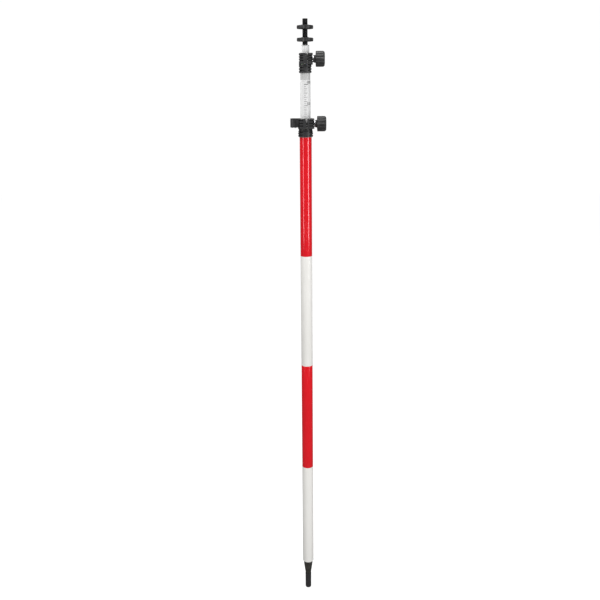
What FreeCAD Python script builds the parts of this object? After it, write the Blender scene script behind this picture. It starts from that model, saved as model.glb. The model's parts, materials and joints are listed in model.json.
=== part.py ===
"""Three-section telescoping survey pole, collapsed, with two clamps, a circular level and a top stud.

Millimetres, +Z up along the pole's axis, origin at the bottom of the tip cap.
+X is the side of the clamp knobs, -X the side of the level, -Y the graduated front.
"""
import FreeCAD, Part
import math
import os

V = FreeCAD.Vector

# Gaps
RUNNING = 0.08          # radial gap of a shaft or tube in its guide
LOOSE = 0.30            # radial gap of a bolt in a clearance hole, or a ring in a tube
SNUG = 0.05             # radial gap of a glued or pinned spigot

# Heights of the main stations along the axis
CAP_TOP = 47.0
OUTER_BOTTOM = 90.0
OUTER_TOP = 1304.0
SLEEVE_BOTTOM = 320.0
SLEEVE_TOP = 1427.6
MID_TOP = 1461.5
INNER_TOP = 1506.0
STUD_TOP = 1569.0

# Tubes
OUTER_R = 15.0
OUTER_BORE = 13.5
OUTER_SEAT_R = 14.7     # turned down where the lower clamp sits
OUTER_SEAT_Z = 1290.8
MID_R = 12.0
MID_BORE = 10.8
SLEEVE_R = 12.5
INNER_R = 10.0
INNER_BORE = 8.6

# Bottom ferrule, steel point and tip cap
FERRULE_NOSE_R = 7.25
FERRULE_SMALL_R = 7.65
FERRULE_BIG_R = 12.5
FERRULE_SHOULDER_R = 12.2
FERRULE_SHOULDER_Z = 80.0
FERRULE_NOSE_LOW = 35.0
FERRULE_SPIGOT = 35.0
FERRULE_RIVETS = 18.0   # height of the rivets above the tube's lower end
POINT_R = 6.0
POINT_SHANK_R = 4.0
POINT_SHANK = 24.0
POINT_SHOULDER_Z = 20.0
POINT_TIP_Z = 4.0
POINT_TIP_R = 1.0
CAP_R_TOP = 8.2
CAP_R_LOW = 8.05
CAP_FLOOR = 2.5
CAP_ROUNDING = 4.5

# End plugs and guide rings of the two sliding sections
PLUG_SPIGOT = 22.0
PLUG_FLANGE = 3.0
PLUG_GROOVE = 17.0
RING_END_GAP = 0.2
RING_SPLIT = 2.0
MID_PLUG_BOTTOM = 127.0
MID_PLUG_CORE_R = 9.0
INNER_PLUG_BOTTOM = 181.0
INNER_PLUG_CORE_R = 7.0
PLUG_VENT_R = 3.0
RIVET_R = 1.6

# Top bushing, stud and thumb nuts
BUSHING_DEPTH = 40.0
BUSHING_FLANGE = 2.5
STUD_R = 6.35
STUD_BOTTOM = 1478.0
STUD_CHAMFER = 1.0
STUD_UNDERCUT = 0.45    # radial depth of the thread relief above the upper nut
STUD_UNDERCUT_Z = (1554.2, 1556.0)
KEYWAY_WIDTH = 2.2
KEYWAY_DEPTH = 1.1
KEYWAY_BOTTOM = 1509.0
NUT_R = 19.8
NUT_LOBES = 6
NUT_SCALLOP_R = 8.0
NUT_SCALLOP_DEPTH = 3.2
NUT_HUB_R = 9.5
NUT_RIM = 8.4
NUT_HUB = 9.3
NUT_INSERT_R = 8.2
NUT_WASHER = 0.9
NUT_WASHER_R = 9.3
LOWER_NUT_Z = 1516.3
UPPER_NUT_Z = 1544.8

# Clamp screws, knobs and captive nuts, the same on both clamps
BOLT_R = 3.0
BOLT_HOLE_R = BOLT_R + LOOSE
BOLT_HEAD_AF = 10.0
BOLT_HEAD = 4.0
BOLT_GRIP = 13.0        # how far the bolt reaches into the knob's grip before its head
CAPTIVE_AF = 10.0
CAPTIVE_THICK = 5.0
CAPTIVE_POCKET = 5.6
KNOB_R = 18.5
KNOB_FLUTES = 14
KNOB_FLUTE_R = 2.4
KNOB_FLUTE_DEPTH = 1.3
KNOB_END_ROUNDING = 5.0
KNOB_BACK_ROUNDING = 1.2
HUB_R = 8.6
HUB_FLARE_R = 9.4
WASHER = 2.2
WASHER_R = 7.6
GRUB_R = 2.0
GRUB_ANGLES = (60.0, 120.0)

# Grip ribs on the clamp bodies
RIB_GROOVE = 2.4
RIB_DEPTH = 1.4
RELIEF = 1.2            # cut that frees the jaws from the socket below them
RELIEF_Y = -3.0


class Clamp:
    """The sizes in which the two clamps differ."""

    def __init__(self, name, socket_low, socket_high, jaw_low, jaw_high):
        self.name = name
        self.socket_low = socket_low
        self.socket_high = socket_high
        self.jaw_low = jaw_low
        self.jaw_high = jaw_high


LOWER = Clamp("lower", 1291.3, 1305.7, 1311.0, 1336.4)
LOWER.socket_r = 18.4
LOWER.neck_r = 17.0
LOWER.ring_r = 18.6
LOWER.tube_r = OUTER_SEAT_R
LOWER.tube_top = OUTER_TOP
LOWER.slide_r = SLEEVE_R
LOWER.liner_r = 14.0
LOWER.lug_left = -15.0
LOWER.lug_right = 21.4
LOWER.lug_front = -26.0
LOWER.screw_y = -18.6
LOWER.screw_z = 1324.2
LOWER.knob_x = 28.0
LOWER.knob_end = 50.4
LOWER.slit = ((-0.6, 1337.4), (4.2, 1337.4), (4.2, 1311.6), (2.6, 1311.6), (2.4, 1322.0))
LOWER.socket_rounding = 3.0
LOWER.rib_levels = (1296.9, 1303.3, 1319.3, 1325.6, 1332.0)
LOWER.panel = (-6.0, 9.0)

UPPER = Clamp("upper", 1444.0, 1463.2, 1463.2, 1490.1)
UPPER.socket_r = 15.25
UPPER.neck_r = 15.25
UPPER.ring_r = 15.25
UPPER.tube_r = MID_R
UPPER.tube_top = MID_TOP
UPPER.slide_r = INNER_R
UPPER.liner_r = 11.5
UPPER.lug_left = -12.5
UPPER.lug_right = 18.0
UPPER.lug_front = -23.4
UPPER.screw_y = -16.1
UPPER.screw_z = 1476.1
UPPER.knob_x = 25.0
UPPER.knob_end = 46.8
UPPER.slit = ((1.2, 1491.1), (6.0, 1491.1), (7.4, 1479.0), (7.4, 1463.8), (5.4, 1463.8), (5.4, 1479.0))
UPPER.socket_rounding = 1.5
UPPER.rib_levels = (1449.8, 1456.5, 1472.4, 1478.4, 1484.1)
UPPER.panel = (-4.5, 7.0)

# Circular level on the lower clamp
VIAL_X = -27.8
VIAL_HOUSING_R = 10.0
VIAL_LOW = 1315.0
VIAL_HIGH = 1336.4
VIAL_FLOOR = 1322.0
VIAL_POCKET_R = 8.0
CUP_R = 7.8
CUP_HIGH = 1335.0
CUP_POCKET_R = 6.9
GLASS_R = 6.8
GLASS_HIGH = 1334.2
GLASS_ROOF = 1.6
FLUID_R = 5.8
RETAINER_R = 7.9
LEVEL_SCREW_R = 1.5
LEVEL_SCREW_HEAD_R = 2.7
LEVEL_SCREW_ANGLES = (60.0, 180.0, 300.0)
LEVEL_SCREW_CIRCLE = 5.0
LEVEL_SOCKET_AF = 2.5
BRACKET_SCREW_R = 2.0
BRACKET_SCREW_Z = 1318.5


def cylinder(radius, low, high):
    return Part.makeCylinder(radius, high - low, V(0, 0, low))


def tube(outer, inner, low, high):
    return cylinder(outer, low, high).cut(cylinder(inner, low - 1, high + 1))


def box(x, y, z):
    """A box from three (low, high) pairs."""
    return Part.makeBox(x[1] - x[0], y[1] - y[0], z[1] - z[0], V(x[0], y[0], z[0]))


def turned(profile):
    """Revolves a closed outline of (radius, height) points about Z."""
    points = [V(r, 0, z) for r, z in profile]
    face = Part.Face(Part.makePolygon(points + points[:1]))
    return face.revolve(V(0, 0, 0), V(0, 0, 1), 360)


def radial_rod(radius, inner, outer, degrees, z):
    angle = math.radians(degrees)
    outward = V(math.cos(angle), math.sin(angle), 0)
    return Part.makeCylinder(radius, outer - inner, outward * inner + V(0, 0, z), outward)


def group(solids):
    return Part.makeCompound(solids)


def edges_at(shape, z, radius):
    """The full circles of one radius at one height."""
    found = []
    for edge in shape.Edges:
        curve = edge.Curve
        if not isinstance(curve, Part.Circle) or abs(curve.Center.z - z) > 0.01:
            continue
        if abs(curve.Radius - radius) < 0.01:
            found.append(edge)
    return found


def hexagon(across_flats, low, high):
    """A vertical hexagonal prism."""
    corner = across_flats / math.sqrt(3)
    angles = [math.radians(60 * i) for i in range(6)]
    points = [V(corner * math.cos(a), corner * math.sin(a), low) for a in angles]
    return Part.Face(Part.makePolygon(points + points[:1])).extrude(V(0, 0, high - low))


def laid_along_x(shape, clamp, x=0.0):
    """Turns a shape made along +Z to lie along +X on a clamp's screw axis, with its z = 0 at x."""
    turned_shape = shape.copy()
    turned_shape.rotate(V(0, 0, 0), V(0, 1, 0), 90)
    turned_shape.translate(V(x, clamp.screw_y, clamp.screw_z))
    return turned_shape


def bottom_ferrule():
    spigot_top = OUTER_BOTTOM + FERRULE_SPIGOT
    spigot_r = OUTER_BORE - SNUG
    shape = turned([
        (0, FERRULE_NOSE_LOW), (FERRULE_NOSE_R, FERRULE_NOSE_LOW), (FERRULE_NOSE_R, CAP_TOP + 0.5),
        (FERRULE_SMALL_R, CAP_TOP + 0.5), (FERRULE_SHOULDER_R, FERRULE_SHOULDER_Z),
        (FERRULE_BIG_R, OUTER_BOTTOM), (spigot_r, OUTER_BOTTOM),
        (spigot_r, spigot_top - 1), (spigot_r - 1, spigot_top), (0, spigot_top),
    ])
    shape = shape.cut(cylinder(POINT_SHANK_R + SNUG, FERRULE_NOSE_LOW - 1, FERRULE_NOSE_LOW + POINT_SHANK + 1))
    for rivet in ferrule_rivet_rods():
        shape = shape.cut(rivet)
    return shape


def ferrule_rivet_rods():
    return [radial_rod(RIVET_R, 8.0, OUTER_R, degrees, OUTER_BOTTOM + FERRULE_RIVETS) for degrees in GRUB_ANGLES]


def steel_point():
    return turned([
        (0, POINT_TIP_Z), (POINT_TIP_R, POINT_TIP_Z), (POINT_R, POINT_SHOULDER_Z),
        (POINT_R, FERRULE_NOSE_LOW), (POINT_SHANK_R, FERRULE_NOSE_LOW),
        (POINT_SHANK_R, FERRULE_NOSE_LOW + POINT_SHANK), (0, FERRULE_NOSE_LOW + POINT_SHANK),
    ])


def tip_cap():
    bore = FERRULE_NOSE_R + RUNNING
    outside = turned([(0, 0), (CAP_R_LOW, 0), (CAP_R_TOP, CAP_TOP), (0, CAP_TOP)])
    outside = outside.makeFillet(CAP_ROUNDING, edges_at(outside, 0, CAP_R_LOW))
    inside = turned([(0, CAP_FLOOR), (3.6, CAP_FLOOR), (bore, 6.2), (bore, CAP_TOP + 1), (0, CAP_TOP + 1)])
    return outside.cut(inside)


def outer_tube():
    shape = turned([
        (OUTER_BORE, OUTER_BOTTOM), (OUTER_R, OUTER_BOTTOM), (OUTER_R, OUTER_SEAT_Z),
        (OUTER_SEAT_R, OUTER_SEAT_Z), (OUTER_SEAT_R, OUTER_TOP), (OUTER_BORE, OUTER_TOP),
    ])
    for rivet in ferrule_rivet_rods():
        shape = shape.cut(rivet)
    return shape


def plug_rivet_rods(bottom, tube_r):
    z = bottom + 2 * PLUG_FLANGE + PLUG_GROOVE + PLUG_SPIGOT / 2
    return [radial_rod(RIVET_R, tube_r - 5, tube_r - 0.1, degrees, z) for degrees in (0.0, 180.0)]


def end_plug(bottom, core_r, flange_r, spigot_r, tube_r):
    """The plug in the foot of a sliding section, with a groove that holds its guide ring."""
    groove_low = bottom + PLUG_FLANGE
    groove_high = groove_low + PLUG_GROOVE
    spigot_low = groove_high + PLUG_FLANGE
    spigot_high = spigot_low + PLUG_SPIGOT
    shape = turned([
        (PLUG_VENT_R, bottom), (flange_r, bottom), (flange_r, groove_low), (core_r, groove_low),
        (core_r, groove_high), (flange_r, groove_high), (flange_r, spigot_low), (spigot_r, spigot_low),
        (spigot_r, spigot_high), (PLUG_VENT_R, spigot_high),
    ])
    for rivet in plug_rivet_rods(bottom, tube_r):
        shape = shape.cut(rivet)
    return shape


def guide_ring(bottom, core_r, bore_r):
    low = bottom + PLUG_FLANGE + RING_END_GAP
    high = bottom + PLUG_FLANGE + PLUG_GROOVE - RING_END_GAP
    ring = tube(bore_r - LOOSE, core_r + LOOSE, low, high)
    split = box((-RING_SPLIT / 2, RING_SPLIT / 2), (0, bore_r + 1), (low - 1, high + 1))
    return ring.cut(split)


def section_tube(tube_r, bore_r, plug_bottom, top):
    """A sliding tube, standing on the upper flange of its end plug."""
    low = plug_bottom + 2 * PLUG_FLANGE + PLUG_GROOVE
    shape = tube(tube_r, bore_r, low, top)
    for rivet in plug_rivet_rods(plug_bottom, tube_r):
        shape = shape.cut(rivet)
    return shape


def top_bushing():
    flange_top = INNER_TOP + BUSHING_FLANGE
    shape = turned([
        (0, INNER_TOP - BUSHING_DEPTH), (INNER_BORE - SNUG, INNER_TOP - BUSHING_DEPTH),
        (INNER_BORE - SNUG, INNER_TOP), (INNER_R, INNER_TOP), (INNER_R, flange_top - 0.5),
        (INNER_R - 0.5, flange_top), (0, flange_top),
    ])
    return shape.cut(cylinder(STUD_R, STUD_BOTTOM, flange_top + 1)).cut(bushing_pin())


def bushing_pin():
    return Part.makeCylinder(1.5, 2 * INNER_R - 0.4, V(0.2 - INNER_R, 0, INNER_TOP - 20), V(1, 0, 0))


def top_stud():
    relief_r = STUD_R - STUD_UNDERCUT
    relief_low, relief_high = STUD_UNDERCUT_Z
    shape = turned([
        (0, STUD_BOTTOM), (STUD_R, STUD_BOTTOM), (STUD_R, relief_low), (relief_r, relief_low),
        (relief_r, relief_high), (STUD_R, relief_high), (STUD_R, STUD_TOP - STUD_CHAMFER),
        (STUD_R - STUD_CHAMFER, STUD_TOP), (0, STUD_TOP),
    ])
    half = KEYWAY_WIDTH / 2
    keyway = box((-half, half), (-STUD_R - 1, KEYWAY_DEPTH - STUD_R), (KEYWAY_BOTTOM, STUD_TOP + 1))
    return shape.cut(keyway).cut(bushing_pin())


def thumb_nut_rim(low):
    """A lobed grip disc with a raised hub, hollow for its threaded insert."""
    middle = low + NUT_HUB / 2
    rim_low = middle - NUT_RIM / 2
    rim_high = middle + NUT_RIM / 2
    rim = cylinder(NUT_R, rim_low, rim_high)
    for i in range(NUT_LOBES):
        angle = math.radians(360 * (i + 0.5) / NUT_LOBES)
        distance = NUT_R - NUT_SCALLOP_DEPTH + NUT_SCALLOP_R
        scallop = cylinder(NUT_SCALLOP_R, rim_low - 1, rim_high + 1)
        scallop.translate(V(distance * math.cos(angle), distance * math.sin(angle), 0))
        rim = rim.cut(scallop)
    ends = [e for e in rim.Edges if abs(e.Vertexes[0].Z - e.Vertexes[-1].Z) < 0.01]
    rim = rim.makeFillet(2.0, ends)
    return rim.fuse(cylinder(NUT_HUB_R, low, low + NUT_HUB)).removeSplitter().cut(thumb_nut_insert(low, 0))


def thumb_nut_insert(low, bore_r):
    """The brass insert that carries the thread. A bore of 0 gives the space that it fills."""
    insert = cylinder(NUT_INSERT_R, low, low + NUT_HUB)
    if bore_r:
        insert = insert.cut(cylinder(bore_r, low - 1, low + NUT_HUB + 1))
    return insert


def thumb_nut_washer(low):
    return tube(NUT_WASHER_R, STUD_R + LOOSE, low + NUT_HUB, low + NUT_HUB + NUT_WASHER)


def jaw_outline(clamp, inset, low, high):
    """The jaws' solid outline: a ring with the two screw lugs in front, drawn in by an inset."""
    x0 = clamp.lug_left + inset
    x1 = clamp.lug_right - inset
    y0 = clamp.lug_front + inset
    lugs = box((x0, x1), (y0, 0), (low, high))
    corners = [e for e in lugs.Edges if e.Length > high - low - 0.01 and e.Vertexes[0].Y < y0 + 0.01
               and abs(e.Vertexes[0].X - e.Vertexes[1].X) < 0.01 and abs(e.Vertexes[0].Y - e.Vertexes[1].Y) < 0.01]
    lugs = lugs.makeFillet(4.0, corners)
    return cylinder(clamp.ring_r - inset, low, high).fuse(lugs).removeSplitter()


def rib_grooves(clamp, low, high, solid_core):
    """The grooves between the grip ribs, left out of the smooth front panel."""
    cuts = []
    for z in clamp.rib_levels:
        if not low < z < high:
            continue
        slab = box((-40, 40), (-40, 40), (z - RIB_GROOVE / 2, z + RIB_GROOVE / 2))
        panel = box(clamp.panel, (-41, 0), (z - RIB_GROOVE, z + RIB_GROOVE))
        cuts.append(slab.cut(solid_core).cut(panel))
    return cuts


def slit(clamp):
    points = [V(x, -40, z) for x, z in clamp.slit]
    face = Part.Face(Part.makePolygon(points + points[:1]))
    return face.extrude(V(0, 34, 0))


def grub_rods(clamp, outer):
    """The set screws that hold a clamp on its tube, or the holes that they sit in."""
    z = (clamp.socket_low + clamp.tube_top) / 2
    return [radial_rod(GRUB_R, clamp.tube_r, outer, degrees, z) for degrees in GRUB_ANGLES]


def clamp_body(clamp):
    socket = cylinder(clamp.socket_r, clamp.socket_low, clamp.socket_high)
    socket = socket.makeFillet(clamp.socket_rounding, edges_at(socket, clamp.socket_low, clamp.socket_r))
    core = cylinder(clamp.socket_r - RIB_DEPTH, clamp.socket_low - 1, clamp.socket_high + 1)
    for groove in rib_grooves(clamp, clamp.socket_low, clamp.socket_high, core):
        socket = socket.cut(groove)
    jaws = jaw_outline(clamp, 0.0, clamp.jaw_low, clamp.jaw_high)
    top_edges = [e for e in jaws.Edges if all(v.Z > clamp.jaw_high - 0.01 for v in e.Vertexes)]
    jaws = jaws.makeChamfer(0.8, top_edges)
    core = jaw_outline(clamp, RIB_DEPTH, clamp.jaw_low - 1, clamp.jaw_high + 1)
    for groove in rib_grooves(clamp, clamp.jaw_low, clamp.jaw_high, core):
        jaws = jaws.cut(groove)
    relief = box((-40, 40), (-40, RELIEF_Y), (clamp.jaw_low, clamp.jaw_low + RELIEF))
    jaws = jaws.cut(relief).cut(slit(clamp))
    shape = socket.fuse(jaws)
    if clamp.jaw_low > clamp.socket_high:
        shape = shape.fuse(cylinder(clamp.neck_r, clamp.socket_high, clamp.jaw_low))
    shape = shape.cut(cylinder(clamp.tube_r + SNUG, clamp.socket_low - 1, clamp.tube_top))
    shape = shape.cut(cylinder(clamp.liner_r + SNUG, clamp.tube_top - 1, clamp.jaw_high + 1))
    for rod in grub_rods(clamp, clamp.socket_r + 1):
        shape = shape.cut(rod)
    hole_length = clamp.lug_right - clamp.lug_left + 2
    hole = laid_along_x(cylinder(BOLT_HOLE_R, 0, hole_length), clamp, clamp.lug_left - 1)
    pocket = laid_along_x(hexagon(CAPTIVE_AF, -2, CAPTIVE_POCKET), clamp, clamp.lug_left)
    shape = shape.cut(hole).cut(pocket)
    if clamp is LOWER:
        shape = shape.cut(bracket_screw())
    return shape.removeSplitter()


def clamp_liner(clamp):
    """The split nylon liner that grips the sliding section."""
    liner = tube(clamp.liner_r, clamp.slide_r + RUNNING, clamp.tube_top + 2, clamp.jaw_high - 0.6)
    return liner.cut(slit(clamp))


def captive_nut(clamp):
    nut = hexagon(CAPTIVE_AF, 0, CAPTIVE_THICK).cut(cylinder(BOLT_R + RUNNING, -1, CAPTIVE_THICK + 1))
    return laid_along_x(nut, clamp, clamp.lug_left + CAPTIVE_POCKET - CAPTIVE_THICK)


def clamp_bolt(clamp):
    """A bolt moulded into the knob, its head inside the grip and its thread in the captive nut."""
    head_low = clamp.knob_x + BOLT_GRIP
    shank = cylinder(BOLT_R, clamp.lug_left + 1, head_low)
    return laid_along_x(shank.fuse(hexagon(BOLT_HEAD_AF, head_low, head_low + BOLT_HEAD)), clamp)


def knob_washer(clamp):
    return laid_along_x(tube(WASHER_R, BOLT_HOLE_R, 0, WASHER), clamp, clamp.lug_right)


def knob(clamp):
    hub_low = clamp.lug_right + WASHER
    grip = cylinder(KNOB_R, clamp.knob_x, clamp.knob_end)
    grip = grip.makeFillet(KNOB_END_ROUNDING, edges_at(grip, clamp.knob_end, KNOB_R))
    grip = grip.makeFillet(KNOB_BACK_ROUNDING, edges_at(grip, clamp.knob_x, KNOB_R))
    distance = KNOB_R - KNOB_FLUTE_DEPTH + KNOB_FLUTE_R
    for i in range(KNOB_FLUTES):
        angle = 2 * math.pi * i / KNOB_FLUTES
        flute = cylinder(KNOB_FLUTE_R, clamp.knob_x - 1, clamp.knob_end + 1)
        flute.translate(V(distance * math.cos(angle), distance * math.sin(angle), 0))
        grip = grip.cut(flute)
    hub = turned([(0, hub_low), (HUB_R, hub_low), (HUB_FLARE_R, clamp.knob_x), (0, clamp.knob_x)])
    return laid_along_x(grip.fuse(hub), clamp).cut(clamp_bolt(clamp))


def vial_cylinder(radius, low, high):
    shape = cylinder(radius, low, high)
    shape.translate(V(VIAL_X, 0, 0))
    return shape


def level_screw_blanks():
    """The three levelling screws before their sockets are cut."""
    screws = []
    for degrees in LEVEL_SCREW_ANGLES:
        angle = math.radians(degrees)
        screw = cylinder(LEVEL_SCREW_R, VIAL_LOW, VIAL_FLOOR + 1.5)
        screw = screw.fuse(cylinder(LEVEL_SCREW_HEAD_R, VIAL_LOW - 1.2, VIAL_LOW + 1.6))
        screw.translate(V(
            VIAL_X + LEVEL_SCREW_CIRCLE * math.cos(angle), LEVEL_SCREW_CIRCLE * math.sin(angle), 0,
        ))
        screws.append(screw)
    return screws


def level_screws():
    screws = []
    for blank in level_screw_blanks():
        socket = hexagon(LEVEL_SOCKET_AF, VIAL_LOW - 2.2, VIAL_LOW + 0.4)
        middle = blank.BoundBox.Center
        socket.translate(V(middle.x, middle.y, 0))
        screws.append(blank.cut(socket))
    return screws


def bracket_screw():
    """Countersunk screw from the clamp's bore into the vial housing."""
    start = -(LOWER.liner_r + SNUG + 0.4)
    shank = Part.makeCylinder(BRACKET_SCREW_R, 12.0, V(start, 0, BRACKET_SCREW_Z), V(-1, 0, 0))
    head = Part.makeCone(3.6, BRACKET_SCREW_R, 1.8, V(start, 0, BRACKET_SCREW_Z), V(-1, 0, 0))
    return shank.fuse(head)


def vial_housing():
    shape = vial_cylinder(VIAL_HOUSING_R, VIAL_LOW, VIAL_HIGH)
    saddle = box((VIAL_X, -12), (-9, 9), (VIAL_LOW, VIAL_HIGH))
    shape = shape.fuse(saddle).removeSplitter()
    shape = shape.cut(cylinder(LOWER.ring_r, VIAL_LOW - 1, VIAL_HIGH + 1))
    shape = shape.cut(vial_cylinder(VIAL_POCKET_R, VIAL_FLOOR, VIAL_HIGH + 1))
    for screw in level_screw_blanks():
        shape = shape.cut(screw)
    return shape.cut(bracket_screw())


def vial_pad():
    """The springy pad that the levelling screws pull the cup against."""
    pad = vial_cylinder(CUP_R, VIAL_FLOOR, VIAL_FLOOR + 1.5)
    for screw in level_screw_blanks():
        pad = pad.cut(screw)
    return pad


def vial_cup():
    cup = vial_cylinder(CUP_R, VIAL_FLOOR + 1.5, CUP_HIGH - 1.2)
    return cup.cut(vial_cylinder(CUP_POCKET_R, VIAL_FLOOR + 3, CUP_HIGH))


def vial_glass():
    """A domed glass, open below, where it stands on the cup's floor."""
    low = VIAL_FLOOR + 3
    glass = turned([
        (FLUID_R, low), (GLASS_R, low), (GLASS_R, GLASS_HIGH - 1), (FLUID_R, GLASS_HIGH - 0.4),
        (0, GLASS_HIGH), (0, GLASS_HIGH - GLASS_ROOF), (FLUID_R, GLASS_HIGH - GLASS_ROOF),
    ])
    glass.translate(V(VIAL_X, 0, 0))
    return glass


def vial_fluid():
    return vial_cylinder(FLUID_R, VIAL_FLOOR + 3, GLASS_HIGH - GLASS_ROOF)


def vial_retainer():
    retainer = vial_cylinder(RETAINER_R, CUP_HIGH - 1.2, CUP_HIGH)
    return retainer.cut(vial_cylinder(GLASS_R + 0.1, CUP_HIGH - 2, CUP_HIGH + 1))


def clamp_parts(clamp):
    parts = {
        "clamp_body": clamp_body(clamp),
        "clamp_liner": clamp_liner(clamp),
        "clamp_nut": captive_nut(clamp),
        "clamp_grub_screws": group(grub_rods(clamp, clamp.socket_r - 1)),
        "knob": knob(clamp),
        "knob_bolt": clamp_bolt(clamp),
        "knob_washer": knob_washer(clamp),
    }
    return {f"{clamp.name}_{name}": shape for name, shape in parts.items()}


def thumb_nut_parts(name, low):
    return {
        f"{name}_thumb_nut": thumb_nut_rim(low),
        f"{name}_thumb_nut_insert": thumb_nut_insert(low, STUD_R + RUNNING),
        f"{name}_thumb_nut_washer": thumb_nut_washer(low),
    }


def pole_parts():
    return {
        "tip_cap": tip_cap(),
        "steel_point": steel_point(),
        "bottom_ferrule": bottom_ferrule(),
        "ferrule_rivets": group(ferrule_rivet_rods()),
        "outer_tube": outer_tube(),
        "mid_tube": section_tube(MID_R, MID_BORE, MID_PLUG_BOTTOM, MID_TOP),
        "mid_scale_sleeve": tube(SLEEVE_R, MID_R, SLEEVE_BOTTOM, SLEEVE_TOP),
        "mid_end_plug": end_plug(MID_PLUG_BOTTOM, MID_PLUG_CORE_R, MID_R, MID_BORE - SNUG, MID_R),
        "mid_plug_rivets": group(plug_rivet_rods(MID_PLUG_BOTTOM, MID_R)),
        "mid_guide_ring": guide_ring(MID_PLUG_BOTTOM, MID_PLUG_CORE_R, OUTER_BORE),
        "inner_tube": section_tube(INNER_R, INNER_BORE, INNER_PLUG_BOTTOM, INNER_TOP).cut(bushing_pin()),
        "inner_end_plug": end_plug(
            INNER_PLUG_BOTTOM, INNER_PLUG_CORE_R, INNER_R, INNER_BORE - SNUG, INNER_R),
        "inner_plug_rivets": group(plug_rivet_rods(INNER_PLUG_BOTTOM, INNER_R)),
        "inner_guide_ring": guide_ring(INNER_PLUG_BOTTOM, INNER_PLUG_CORE_R, MID_BORE),
        "top_bushing": top_bushing(),
        "top_bushing_pin": bushing_pin(),
        "top_stud": top_stud(),
    }


def level_parts():
    return {
        "vial_housing": vial_housing(),
        "vial_pad": vial_pad(),
        "vial_cup": vial_cup(),
        "vial_glass": vial_glass(),
        "vial_fluid": vial_fluid(),
        "vial_retainer": vial_retainer(),
        "vial_levelling_screws": group(level_screws()),
        "vial_housing_screw": bracket_screw(),
    }


def main():
    os.makedirs("parts", exist_ok=True)
    parts = pole_parts()
    parts.update(clamp_parts(LOWER))
    parts.update(clamp_parts(UPPER))
    parts.update(level_parts())
    parts.update(thumb_nut_parts("lower", LOWER_NUT_Z))
    parts.update(thumb_nut_parts("upper", UPPER_NUT_Z))
    for name, shape in parts.items():
        if not shape.isValid():
            print("not valid:", name)
        print(f"{name}: {len(shape.Solids)} solid, {shape.Volume:.1f} mm3")
        shape.exportStep(f"parts/{name}.step")


main()
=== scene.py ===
import json
import math
import bmesh
import bpy
from mathutils import Matrix, Vector


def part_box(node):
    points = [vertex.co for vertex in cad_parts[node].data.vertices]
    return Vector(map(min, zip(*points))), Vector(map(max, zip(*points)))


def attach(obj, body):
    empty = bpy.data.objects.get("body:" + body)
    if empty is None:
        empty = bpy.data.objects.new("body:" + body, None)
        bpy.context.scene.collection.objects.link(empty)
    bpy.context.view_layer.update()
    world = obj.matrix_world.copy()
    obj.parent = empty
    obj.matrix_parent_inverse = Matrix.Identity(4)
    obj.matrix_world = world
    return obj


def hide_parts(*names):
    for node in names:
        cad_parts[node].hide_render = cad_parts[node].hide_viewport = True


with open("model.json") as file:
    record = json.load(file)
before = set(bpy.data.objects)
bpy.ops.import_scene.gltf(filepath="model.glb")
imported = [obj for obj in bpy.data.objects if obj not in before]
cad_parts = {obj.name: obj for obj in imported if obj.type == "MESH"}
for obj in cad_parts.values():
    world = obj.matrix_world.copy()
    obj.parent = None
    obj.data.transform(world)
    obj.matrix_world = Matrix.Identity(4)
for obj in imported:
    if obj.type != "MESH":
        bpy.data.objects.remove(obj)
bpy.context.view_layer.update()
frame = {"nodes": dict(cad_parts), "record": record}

# A telescoping survey pole. Its shapes are made in millimetres, in the CAD model's frame, then scaled by MM.

MM = 0.001
NODES = frame["nodes"]

# Radii of the pole's sections and stud, read from the frame
OUTER_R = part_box("outer_tube")[1].x / MM
SLEEVE_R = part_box("mid_scale_sleeve")[1].x / MM
INNER_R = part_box("inner_tube")[1].x / MM
STUD_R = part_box("top_stud")[1].x / MM


def low_z(node):
    """The height of a CAD node's lowest point, in mm."""
    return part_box(node)[0].z / MM


def high_z(node):
    """The height of a CAD node's highest point, in mm."""
    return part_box(node)[1].z / MM


# ---------------------------------------------------------------- materials

# In materials, noise scales are per metre and distances are in metres
# Painted shade for grooves and corners: how far the occlusion that finds them reaches, and the colour and
# gloss left there
CREVICE_REACH = 0.003
CREVICE_SHADE = 0.12        # how much of its colour a groove keeps
CREVICE_GLOSS = 0.05        # its specular level there


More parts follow.
